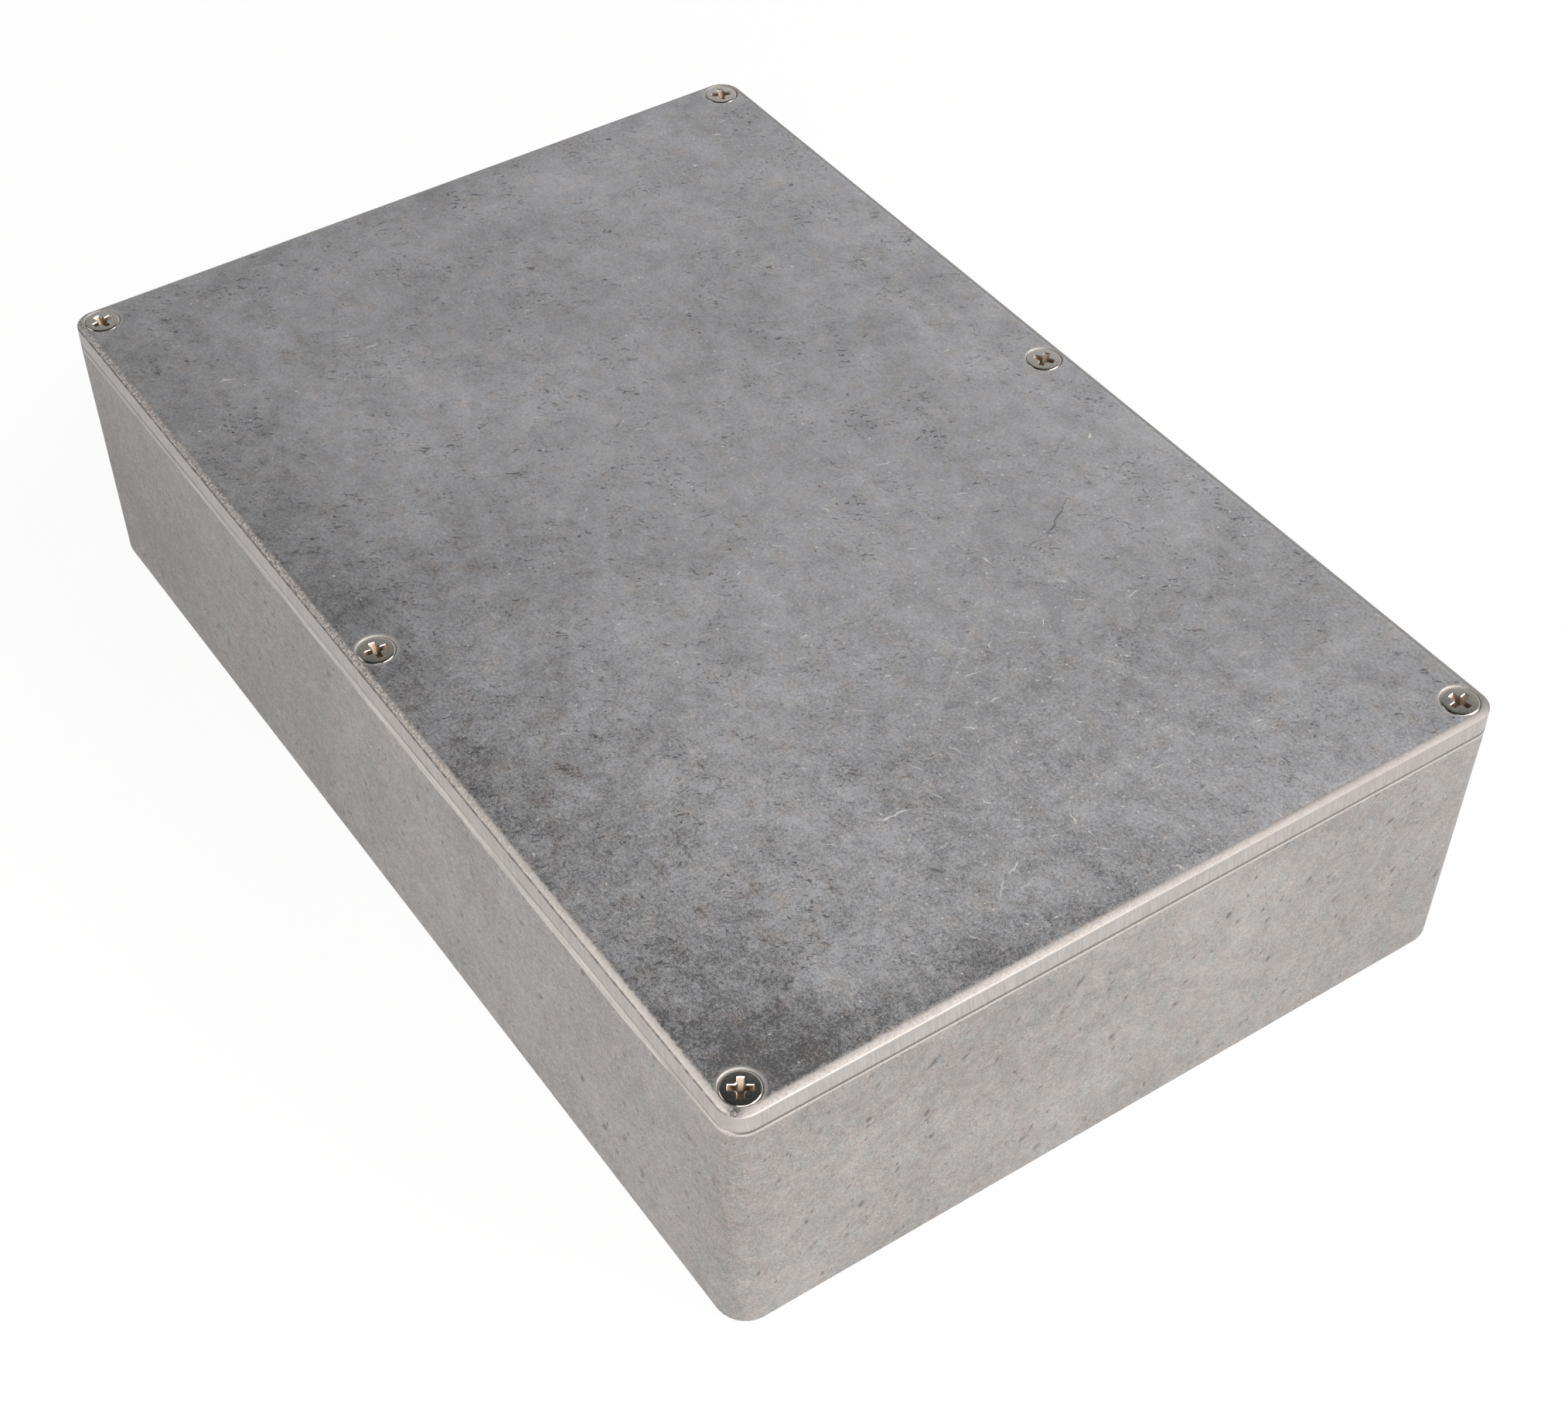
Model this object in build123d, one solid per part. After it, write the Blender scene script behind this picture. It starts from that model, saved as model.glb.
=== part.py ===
"""Six-screw die-cast aluminium box: a drafted base, a lid with a ground edge, and its countersunk screws.

The origin is the centre of the base's underside. X runs along the box, Y across it and Z up through the lid.
"""

from build123d import *

import math
import os

# Overall sizes, in millimetres
LENGTH = 222.0  # along X, over the ground edge of the lid
WIDTH = 146.0  # along Y, over the ground edge of the lid
HEIGHT = 55.0  # underside of the base to the top of the lid
CORNER_RADIUS = 7.0  # upright corners, in plan at the joint line

# Base casting
WALL = 2.8
FLOOR = 2.8
DRAFT = 1.0  # degrees that each cast wall leans in towards the floor
LONG_LAND = 2.3  # upright band below the joint line, ground together with the lid, on the long sides
SHORT_LAND = 0.6  # the same band on the short sides
RIM_BREAK = 0.3  # edge break of the rim at the joint line
BOTTOM_ROUND = 2.0  # outer edge of the underside
BOSS_RADIUS = 4.6  # screw bosses, at the joint line
BOSS_FILLET = 4.5  # where a boss runs into a wall, at the joint line

# Lid casting
LID_EDGE = 4.2  # height of the lid's edge above the joint line
LID_PLATE = 2.6  # thickness of the plate inside the locating lip
EDGE_ROUND = 2.5  # cast round of the lid's top edge
GROUND_OFF = 0.7  # metal ground off the round all the way about
LIP_DEPTH = 2.4  # how far the lip reaches into the base
LIP_THICKNESS = 1.6
LIP_CLEARANCE = 0.3  # between the lip and the base
LID_BREAK = 0.1  # edge break of the lid at the joint line

# Screws and their holes
SCREW_INSET = 4.55  # from each ground edge to the screw's axis
THREAD_DIAMETER = 3.5
THREAD_CLEARANCE = 0.05  # radial, between thread and tapped hole
HOLE_CLEARANCE = 0.3  # radial, between thread and lid
TAPPED_DEPTH = 16.0  # below the joint line, to the drill point
DRILL_POINT = 118.0  # included angle, in degrees, of the drill that leaves the foot of each tapped hole
HEAD_DIAMETER = 6.5
HEAD_RIM = 0.12  # height of the upright rim of the head
HEAD_BREAK = 0.1  # bevelled upper edge of the head
SEAT_CLEARANCE = 0.05  # between the head and its countersink, along Z
SINK_MOUTH = 7.0  # diameter of the countersink at the lid's top, a 90 degree cone
SCREW_LENGTH = 12.7  # from the top of the head to the tip
TIP_BREAK = 0.5  # bevel at the tip
RECESS_SPAN = 3.6  # across the cross recess
RECESS_WING = 0.95  # width of a wing
RECESS_CORE = 1.7  # side of the square at the middle of the cross
RECESS_DEPTH = 1.7
RECESS_FOOT = 1.3  # span of the recess at its foot

# How far each recess is turned, in degrees, from the near right corner round the box
SCREW_TURNS = {
    (1, -1): 56.0,
    (0, -1): 86.0,
    (-1, -1): 14.0,
    (1, 1): 9.0,
    (0, 1): 33.0,
    (-1, 1): 67.0,
}

# Places that follow from the sizes
JOINT_Z = HEIGHT - LID_EDGE
HEAD_TOP_Z = HEIGHT - (SINK_MOUTH - HEAD_DIAMETER) / 2 + HEAD_RIM + SEAT_CLEARANCE
SCREW_X = LENGTH / 2 - SCREW_INSET
SCREW_Y = WIDTH / 2 - SCREW_INSET
OVERCUT = 1.0  # how far a cutter runs past the face it opens


def screw_places():
    """The axis of each screw as (x, y), with the turn of its recess."""
    return [(i * SCREW_X, j * SCREW_Y, turn) for (i, j), turn in SCREW_TURNS.items()]


def outline(grow=0.0):
    """The box's plan at the joint line, grown outwards by a margin."""
    return RectangleRounded(LENGTH + 2 * grow, WIDTH + 2 * grow, CORNER_RADIUS + grow)


def cast_outline():
    """The base's plan at the joint line before grinding, which takes each wall back to its land."""
    lean = math.tan(math.radians(DRAFT))
    return RectangleRounded(LENGTH + 2 * SHORT_LAND * lean, WIDTH + 2 * LONG_LAND * lean, CORNER_RADIUS)


def opening_plan():
    """The plan of the base's opening: the inner wall with the screw bosses standing into it."""
    plan = Rectangle(LENGTH - 2 * WALL, WIDTH - 2 * WALL)
    for x, y, _ in screw_places():
        plan -= Pos(x, y) * Circle(BOSS_RADIUS)
    return fillet(plan.faces().sort_by(SortBy.AREA)[-1].vertices(), BOSS_FILLET)


def base():
    """The tray: a drafted blank ground at its rim, with the opening drawn out of it and a hole in each boss."""
    blank = extrude(Pos(0, 0, JOINT_Z) * cast_outline(), -JOINT_Z, taper=DRAFT)
    blank = fillet(blank.edges().group_by(Axis.Z)[0], BOTTOM_ROUND)
    ground = extrude(outline(), JOINT_Z)
    ground = chamfer(ground.edges().group_by(Axis.Z)[-1], RIM_BREAK)
    hollow = extrude(Pos(0, 0, JOINT_Z) * opening_plan(), FLOOR - JOINT_Z, taper=DRAFT)
    tray = (blank & ground) - hollow
    for x, y, _ in screw_places():
        tray -= Pos(x, y, JOINT_Z) * tapped_hole()
    return tray


def tapped_hole():
    """Cutter for one blind tapped hole, from the joint line at Z 0 down."""
    radius = THREAD_DIAMETER / 2 + THREAD_CLEARANCE
    point = radius / math.tan(math.radians(DRILL_POINT / 2))
    profile = Polyline(
        (0, OVERCUT),
        (radius, OVERCUT),
        (radius, -TAPPED_DEPTH),
        (0, -TAPPED_DEPTH - point),
        close=True,
    )
    return revolve(Plane.XZ * make_face(profile), Axis.Z)


def lid():
    """The cover: a rounded blank ground to the box's outline, with a locating lip and countersunk holes."""
    blank = extrude(Pos(0, 0, JOINT_Z) * outline(GROUND_OFF), LID_EDGE)
    blank = fillet(blank.edges().group_by(Axis.Z)[-1], EDGE_ROUND)
    ground = extrude(Pos(0, 0, JOINT_Z) * outline(), LID_EDGE)
    ground = chamfer(ground.edges().group_by(Axis.Z)[0], LID_BREAK)
    lip_outside = offset(opening_plan(), -LIP_CLEARANCE)
    lip_inside = offset(opening_plan(), -LIP_CLEARANCE - LIP_THICKNESS)
    lip = extrude(Pos(0, 0, JOINT_Z) * lip_outside, -LIP_DEPTH)
    pocket_depth = LIP_DEPTH + LID_EDGE - LID_PLATE
    pocket = extrude(Pos(0, 0, JOINT_Z - LIP_DEPTH) * lip_inside, pocket_depth)
    cover = (blank & ground) + lip - pocket
    for x, y, _ in screw_places():
        cover -= Pos(x, y, HEIGHT) * countersunk_hole()
    return cover


def countersunk_hole():
    """Cutter for one screw hole in the lid, with the lid's top at Z 0."""
    mouth = SINK_MOUTH / 2
    radius = THREAD_DIAMETER / 2 + HOLE_CLEARANCE
    profile = Polyline(
        (0, OVERCUT),
        (mouth + OVERCUT, OVERCUT),
        (radius, radius - mouth),
        (radius, -LID_EDGE - OVERCUT),
        (0, -LID_EDGE - OVERCUT),
        close=True,
    )
    return revolve(Plane.XZ * make_face(profile), Axis.Z)


def screw(turn):
    """One countersunk machine screw with a cross recess, the top of its head at Z 0."""
    head = HEAD_DIAMETER / 2
    shank = THREAD_DIAMETER / 2
    profile = Polyline(
        (0, 0),
        (head, 0),
        (head, -HEAD_RIM),
        (shank, -HEAD_RIM - head + shank),
        (shank, -SCREW_LENGTH + TIP_BREAK),
        (shank - TIP_BREAK, -SCREW_LENGTH),
        (0, -SCREW_LENGTH),
        close=True,
    )
    body = revolve(Plane.XZ * make_face(profile), Axis.Z)
    body = chamfer(body.edges().group_by(Axis.Z)[-1], HEAD_BREAK)
    return Rot(0, 0, turn) * (body - cross_recess())


def cross_recess():
    """Cutter for the cross recess: two wings and a square core, narrowing to the foot."""
    cross = (
        Rectangle(RECESS_SPAN, RECESS_WING)
        + Rectangle(RECESS_WING, RECESS_SPAN)
        + Rot(0, 0, 45) * Rectangle(RECESS_CORE, RECESS_CORE)
    )
    wings = extrude(cross, -RECESS_DEPTH)
    taper = Cone(RECESS_FOOT / 2, RECESS_SPAN / 2, RECESS_DEPTH, align=(Align.CENTER, Align.CENTER, Align.MAX))
    return wings & taper


def lid_screws():
    """The screws in their places, each a solid of its own."""
    return Compound([Pos(x, y, HEAD_TOP_Z) * screw(turn) for x, y, turn in screw_places()])


def main():
    """Writes each piece to its own file."""
    os.makedirs("parts", exist_ok=True)
    for piece in (base, lid, lid_screws):
        export_step(piece(), f"parts/{piece.__name__}.step")


main()
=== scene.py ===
"""Looks of the six-screw die-cast aluminium box: cast, ground and plated skins, studio light, camera."""

import math

import bmesh
import bpy
from mathutils import Matrix, Vector


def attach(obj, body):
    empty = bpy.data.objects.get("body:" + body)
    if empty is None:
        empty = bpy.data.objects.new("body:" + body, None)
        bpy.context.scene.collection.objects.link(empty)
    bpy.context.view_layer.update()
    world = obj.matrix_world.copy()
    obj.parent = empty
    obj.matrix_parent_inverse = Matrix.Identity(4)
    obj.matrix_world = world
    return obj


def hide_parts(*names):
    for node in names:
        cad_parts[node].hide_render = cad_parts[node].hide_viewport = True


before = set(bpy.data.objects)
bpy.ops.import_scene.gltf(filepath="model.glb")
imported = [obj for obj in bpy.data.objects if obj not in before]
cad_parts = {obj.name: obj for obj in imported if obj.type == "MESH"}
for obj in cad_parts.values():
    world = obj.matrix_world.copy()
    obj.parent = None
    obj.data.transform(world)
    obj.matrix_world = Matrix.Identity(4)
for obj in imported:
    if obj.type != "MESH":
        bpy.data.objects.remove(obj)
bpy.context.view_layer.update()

MM = 0.001  # metres

# Sizes of the box, in millimetres, as in the CAD source
LENGTH = 222.0
WIDTH = 146.0
HEIGHT = 55.0
CORNER_RADIUS = 7.0
LID_EDGE = 4.2  # height of the lid's edge above the joint line
LONG_LAND = 2.3  # height of the ground band under the joint line, on the long sides
SHORT_LAND = 0.6  # the same band on the short sides
EDGE_ROUND = 2.5  # cast round of the lid's top edge
GROUND_OFF = 0.7  # metal ground off that round
SCREW_INSET = 4.55  # from each ground edge to the screw's axis
SINK_RADIUS = 3.5  # mouth of a countersink
SEAT_CLEARANCE = 0.05  # between a screw's head and its countersink, along Z

# Places that follow from the sizes
HALF_LENGTH = LENGTH / 2
HALF_WIDTH = WIDTH / 2
JOINT_Z = HEIGHT - LID_EDGE
SCREW_X = HALF_LENGTH - SCREW_INSET
SCREW_Y = HALF_WIDTH - SCREW_INSET
ROUND_LEFT = EDGE_ROUND - GROUND_OFF  # how far in from the ground side the round still reaches
EDGE_DROP = EDGE_ROUND - math.sqrt(EDGE_ROUND**2 - ROUND_LEFT**2)
GROUND_TOP = HEIGHT - EDGE_DROP  # where the lid's round meets its ground side

# Tighter upright corners of the castings, in millimetres
JOINT_RADIUS = 4.1  # at the joint line and above
FOOT_RADIUS = 6.3  # at the foot
CORNER_SIDES = 7  # facets of a corner in the solids' mesh
CORNER_X = HALF_LENGTH - CORNER_RADIUS  # centre of a corner of the solids
CORNER_Y = HALF_WIDTH - CORNER_RADIUS
CORNER_SCREW = CORNER_RADIUS - SCREW_INSET  # a corner screw's axis, from that centre, along X and along Y
FOOT_TOP = 3.0  # the rounded bottom edge stays below this height
FOOT_SKIN = 3.2  # how far in from a corner's outside a point belongs to it, at the foot
WALL_SKIN = 1.2  # the same, above the foot
SLACK = 0.05  # play when points of the solids' mesh are told apart
MOUTH_SLACK = 0.06
LEAST_LEAN = 0.01  # a normal that leans outward by more than this is one of the lid's round
MOUTH_TRIES = 8  # rounds in which a countersink's mouth settles on the lid's round

# Screws, in millimetres: the top of the head is at Z 0 of the screw
HEAD_RADIUS = 3.25
HEAD_FLAT = 2.82  # radius of the flat top
HEAD_ROUND = 0.5
HEAD_ARC = math.radians(48.0)
HEAD_STEPS = 6
HEAD_RIM = 0.12
HEAD_SIDES = 60
HEAD_TOP_Z = HEIGHT - SINK_RADIUS + HEAD_RADIUS + HEAD_RIM + SEAT_CLEARANCE
SCREW_LENGTH = 12.7
TIP_BREAK = 0.5
THREAD_RADIUS = 1.75
THREAD_ROOT = 1.38
THREAD_BURIED = 0.1  # how far the ridge reaches into the shank
THREAD_PITCH = 0.6
THREAD_FOOT = 0.44  # half the ridge's foot, as a share of the pitch
THREAD_CREST = 0.08  # half its crest
THREAD_SIDES = 24
RECESS_SPAN = 3.6
RECESS_WING = 0.95
RECESS_DEPTH = 1.7
RECESS_FOOT = 1.3  # span of the recess at its foot
RECESS_FOOT_WING = 0.75  # width of a wing at the foot, as a share of its width at the top
RECESS_LIP = 0.13
RECESS_CORNER = 0.78  # inner corner of the cross, as a share of a wing's width
RECESS_END = 0.515  # rounded end of a wing, as a share of the span
SHARP_ANGLE = math.radians(28.0)
SCREW_TURNS = {(1, -1): 56.0, (0, -1): 86.0, (-1, -1): 14.0, (1, 1): 9.0, (0, 1): 33.0, (-1, 1): 67.0}

# Colours of the lid's skin, each from dark to light
SKIN_COOL = ((0.150, 0.151, 0.158), (0.640, 0.647, 0.678))
SKIN_WARM = ((0.158, 0.150, 0.149), (0.657, 0.638, 0.636))
# Near-white colour of the lid's scratches: a painted glint
SCRATCH_GLINT = (0.95, 0.935, 0.92)

# Colours of the lid's rounded edge and of the lines under it; on the edge the far colours are painted shade
# and the near light one a painted highlight
SHORT_EDGE = ((0.31, 0.288, 0.277), (0.53, 0.492, 0.470))
SHORT_EDGE_FAR_SHADE = (0.27, 0.254, 0.245)
LONG_EDGE = ((0.22, 0.205, 0.198), (0.86, 0.803, 0.768))
LONG_EDGE_HIGHLIGHT = (0.97, 0.915, 0.880)
LONG_EDGE_FAR_SHADE = (0.26, 0.249, 0.242)
# Lines under the edge: dark on the long sides as painted shade, bright on the short sides as a painted
# highlight
LONG_ARRIS_SHADE = (0.12, 0.112, 0.108)
SHORT_ARRIS_HIGHLIGHT = (0.80, 0.752, 0.718)
STAIN = (0.07, 0.066, 0.064)

# Colours of the countersinks: the burr round the mouth, and the cone
BURR = (0.60, 0.575, 0.555)
MACHINED = ((0.36, 0.345, 0.33), (0.56, 0.54, 0.515))

# Colours of the ground metal at the joint, as it is and with painted light, each from its darkest to its
# lightest lines
GROUND = ((0.31, 0.292, 0.283), (0.52, 0.492, 0.477))
GROUND_LIT = ((0.38, 0.358, 0.342), (0.72, 0.676, 0.643))
# Painted shade of the gap at the joint between lid and base
SEAM_SHADE = (0.03, 0.028, 0.026)

# Dark joint line, painted shade of the gap between lid and base, on the long and the short sides: its edge
# on the lid and on the base, and its amount there
SEAM_TOP = (JOINT_Z + 0.20, JOINT_Z - 0.10)
SEAM_FOOT = (JOINT_Z - 0.12, JOINT_Z - 0.44)
SEAM_ON_LID = (0.30, 0.92)
SEAM_ON_BASE = (0.4, 0.8)
SEAM_SOFT = 0.06  # softness of its edges

# Ground band as it is coloured, in millimetres
BAND_FAR_LOSS = 0.8  # how much lower it is at the far end of the long sides
BAND_NEAR_LOSS = 1.2  # how much lower it is by the near corner
BAND_SHORT_GAIN = 0.35  # how much higher it is on the short sides
BAND_SOFT = 0.08  # softness of its lower edge

# Colours of the base's walls, each from dark to light
WALL_PINK = ((0.175, 0.159, 0.152), (0.545, 0.508, 0.490))
WALL_GREY = ((0.160, 0.156, 0.152), (0.510, 0.503, 0.496))
WALL_SMEAR = (0.24, 0.225, 0.205)

# Colours of the screws' plate, on the head and in the recess, where its golden tint is darkened as painted
# shade
PLATE = ((0.58, 0.545, 0.50), (0.68, 0.642, 0.593))
PLATE_RECESS_SHADED = ((0.36, 0.28, 0.21), (0.54, 0.44, 0.35))

# Mean lightness of the skins, from 0 for the dark to 1 for the light colour
LID_SHADE = 0.69
WALL_SHADE = 0.44

# Metal and relief of the surfaces
CAST_METALLIC = 0.6
PLATE_METALLIC = 1.0
LID_ROUGHNESS = 0.36  # before the mottling adds to it, as in the two below
WALL_ROUGHNESS = 0.4
PLATE_ROUGHNESS = 0.08
CAST_RELIEF = 0.6  # strength of the bump on the castings
PLATE_RELIEF = 0.3
LID_DEPTH = 0.04 * MM
WALL_DEPTH = 0.05 * MM
PLATE_DEPTH = 0.03 * MM

# Directions, in radians: of most dark flecks on the lid, and the turn that brings the walls' stains level
FLECK_LEAN = 0.98
STAIN_LEAN = 2.09

# Dark stain on the lid's near corner: middle in plan and reach, in millimetres
CORNER_STAIN = (109.4, -71.4)
CORNER_STAIN_REACH = 2.0

# Darker, paler and scuffed patches of the lid's skin: centre, reach along X and Y in millimetres, amount.
# The darker ones are partly smudges and partly painted shade towards the lid's near edge and its end at
# negative X
LID_SMUDGES_AND_SHADE = (
    ((-75.0, -10.0), 44.0, 34.0, 0.14),
    ((-92.0, -50.0), 40.0, 34.0, 0.18),
    ((-10.0, -40.0), 26.0, 20.0, 0.12),
    ((24.0, -46.0), 26.0, 16.0, 0.10),
    ((-70.0, 52.0), 26.0, 14.0, 0.08),
    ((-30.0, 62.0), 26.0, 14.0, 0.08),
    ((104.0, -66.0), 40.0, 34.0, 0.36),
    ((110.0, -25.0), 14.0, 60.0, 0.30),
    ((0.0, -75.0), 170.0, 34.0, 0.40),
    ((-109.0, -10.0), 14.0, 80.0, 0.14),
)
LID_HAZE = (
    ((20.0, -30.0), 20.0, 10.0, 0.10),
    ((58.0, -34.0), 26.0, 16.0, 0.12),
    ((98.0, -12.0), 16.0, 12.0, 0.12),
    ((100.0, -46.0), 12.0, 9.0, 0.18),
    ((-60.0, -28.0), 24.0, 12.0, 0.08),
    ((-97.0, 22.0), 18.0, 18.0, 0.08),
    ((-20.0, 56.0), 20.0, 12.0, 0.06),
    ((30.0, 20.0), 60.0, 34.0, 0.04),
)
LID_SCUFFED = (
    ((55.0, 12.0), 70.0, 70.0, 0.45),
    ((90.0, 0.0), 40.0, 60.0, 0.40),
)
SCUFFED_ELSEWHERE = 0.05

# Cold cracks of the lid, and its scuffs with a painted glint: start and end in millimetres, width, amount
LID_CRACKS = (
    ((32.1, 48.9), (39.2, 38.6), 0.55, 0.50),
    ((19.3, 58.5), (23.2, 52.2), 0.45, 0.34),
    ((-35.8, 61.2), (-31.2, 51.5), 0.45, 0.30),
    ((60.9, 42.5), (66.0, 34.2), 0.40, 0.26),
    ((74.3, 43.8), (74.9, 41.2), 0.50, 0.34),
)
LID_SCUFF_GLINTS = (
    ((76.8, -17.2), (76.2, -23.7), 0.60, 1.30),
    ((90.6, 2.2), (93.8, 1.2), 0.55, 0.90),
    ((94.4, 2.4), (97.7, 1.4), 0.45, 0.80),
    ((94.2, -10.6), (96.3, -13.4), 0.50, 0.90),
    ((95.6, -14.0), (99.2, -17.9), 0.50, 0.80),
    ((44.3, 22.6), (67.3, -8.3), 1.00, 0.16),
    ((21.1, 62.0), (22.6, 60.8), 0.50, 1.20),
    ((54.2, 25.6), (55.6, 24.6), 0.45, 1.10),
    ((53.6, 15.2), (55.0, 13.8), 0.50, 1.20),
    ((16.4, -8.6), (17.9, -9.8), 0.45, 0.90),
)

# Floor: half its side and its drop under the box in metres, its colour, its glow and the glow's share
FLOOR_HALF = 4.0
FLOOR_DROP = 0.3 * MM
FLOOR_COLOUR = (0.86, 0.86, 0.86, 1.0)
FLOOR_GLOW = 1.05
FLOOR_GLOW_SHARE = 0.87

# Surroundings that light the box: height, from level to overhead, and brightness
WORLD_STOPS = ((0.0, 0.95), (0.42, 0.78), (0.60, 0.54), (0.68, 0.33), (0.79, 0.055), (1.0, 0.05))
WORLD_LEFT = (-0.55, -0.83)  # the side of the room that is dimmer
WORLD_DIM = 0.30

# Lamps: name, place and target in metres, side of the square, power in watts, colour
MIDDLE = (0.0, 0.0, 0.03)
NEAR_CORNER = (0.05, -0.05, 0.03)
LAMPS = (
    ("softbox_right", (0.70, 0.65, 0.70), MIDDLE, 1.0, 11.0, (1.0, 0.97, 0.94)),
    ("softbox_front", (1.00, -0.45, 0.75), MIDDLE, 0.9, 6.5, (1.0, 0.97, 0.94)),
    ("softbox_low", (0.22, -0.38, 0.10), NEAR_CORNER, 0.25, 0.9, (1.0, 0.96, 0.93)),
    ("softbox_left", (-0.55, -0.60, 0.65), MIDDLE, 0.5, 0.8, (1.0, 0.96, 0.94)),
)

# Camera, from the photograph's perspective: place in metres, axes, focal length and framing
CAMERA_PLACE = (0.30583, -0.19900, 0.36518)
CAMERA_RIGHT = (0.55426, 0.83233, -0.00544)
CAMERA_DOWN = (0.57635, -0.38851, -0.71894)
CAMERA_FORWARD = (-0.60051, 0.39534, -0.69505)
CAMERA_SENSOR = 36.0
CAMERA_LENS = 63.965
CAMERA_SHIFT = (0.02697, -0.01874)
CAMERA_CLIP = (0.01, 50.0)


class Graph:
    """A node tree, with short calls for the nodes that the surfaces use."""

    def __init__(self, tree):
        self.tree = tree
        tree.nodes.clear()

    def node(self, kind, **settings):
        made = self.tree.nodes.new(kind)
        for name, value in settings.items():
            setattr(made, name, value)
        return made

    def feed(self, socket, value):
        if isinstance(value, bpy.types.NodeSocket):
            self.tree.links.new(value, socket)
        elif value is not None:
            socket.default_value = value

    def calc(self, operation, a, b=None, c=None, clamp=False):
        made = self.node("ShaderNodeMath", operation=operation, use_clamp=clamp)
        for socket, value in zip(made.inputs, (a, b, c)):
            self.feed(socket, value)
        return made.outputs[0]

    def chain(self, operation, values):
        """Several values taken together, two at a time."""
        total = values[0]
        for value in values[1:]:
            total = self.calc(operation, total, value)
        return total

    def add(self, *values):
        return self.chain("ADD", values)

    def times(self, *values):
        return self.chain("MULTIPLY", values)

    def most(self, *values):
        return self.chain("MAXIMUM", values)

    def rest(self, share):
        """What is left of 1."""
        return self.calc("SUBTRACT", 1.0, share)

    def gap(self, a, b):
        """How far apart two values are."""
        return self.calc("ABSOLUTE", self.calc("SUBTRACT", a, b))

    def vector(self, operation, a, b=None, scale=None):
        made = self.node("ShaderNodeVectorMath", operation=operation)
        self.feed(made.inputs[0], a)
        self.feed(made.inputs[1], b)
        self.feed(made.inputs[3], scale)
        return made.outputs[1] if operation == "LENGTH" else made.outputs[0]

    def step(self, value, low, high, out_low=0.0, out_high=1.0):
        """A smooth rise from out_low to out_high as value goes from low to high."""
        made = self.node("ShaderNodeMapRange", interpolation_type="SMOOTHSTEP")
        for name, number in (("Value", value), ("From Min", low), ("From Max", high)):
            self.feed(made.inputs[name], number)
        self.feed(made.inputs["To Min"], out_low)
        self.feed(made.inputs["To Max"], out_high)
        return made.outputs["Result"]

    def by_side(self, short_side, on_long, on_short):
        """One value on the long sides, another on the short ones."""
        return self.step(short_side, 0.0, 1.0, on_long, on_short)

    def mix(self, factor, a, b, blend="MIX"):
        made = self.node("ShaderNodeMix", data_type="RGBA", blend_type=blend)
        self.feed(made.inputs[0], factor)
        for socket, value in ((made.inputs[6], a), (made.inputs[7], b)):
            self.feed(socket, (*value, 1.0) if isinstance(value, tuple) else value)
        return made.outputs[2]

    def noise(self, place, scale, detail, roughness):
        made = self.node("ShaderNodeTexNoise")
        self.feed(made.inputs["Vector"], place)
        for name, value in (("Scale", scale), ("Detail", detail), ("Roughness", roughness)):
            self.feed(made.inputs[name], value)
        return made.outputs["Fac"]

    def sway(self, value, amount):
        """A noise as a swing about zero of the given amount."""
        return self.times(self.calc("SUBTRACT", value, 0.5), amount)

    def noise_shift(self, place, scale, reach):
        """The place moved about by a soft noise, by up to about reach."""
        made = self.node("ShaderNodeTexNoise")
        self.feed(made.inputs["Vector"], place)
        self.feed(made.inputs["Scale"], scale)
        self.feed(made.inputs["Detail"], 2.0)
        offset = self.vector("SUBTRACT", made.outputs["Color"], (0.5, 0.5, 0.5))
        return self.vector("ADD", place, self.vector("SCALE", offset, scale=2.0 * reach))

    def split(self, value):
        made = self.node("ShaderNodeSeparateXYZ")
        self.feed(made.inputs[0], value)
        return made.outputs[0], made.outputs[1], made.outputs[2]

    def join(self, x=0.0, y=0.0, z=0.0):
        made = self.node("ShaderNodeCombineXYZ")
        for socket, value in zip(made.inputs, (x, y, z)):
            self.feed(socket, value)
        return made.outputs[0]

    def place_mm(self):
        """The place on the box in millimetres."""
        made = self.node("ShaderNodeTexCoord")
        return self.vector("SCALE", made.outputs["Object"], scale=1.0 / MM)

    def normal(self):
        return self.split(self.node("ShaderNodeNewGeometry").outputs["Normal"])

    def rotated(self, place, angle):
        """The place turned about Z."""
        made = self.node("ShaderNodeVectorRotate", rotation_type="Z_AXIS")
        self.feed(made.inputs["Vector"], place)
        self.feed(made.inputs["Angle"], angle)
        return made.outputs[0]

    def turned(self, place, angle, along, across):
        """The place turned about Z and stretched along and across that direction."""
        return self.vector("MULTIPLY", self.rotated(place, angle), (along, across, 1.0))

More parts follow.
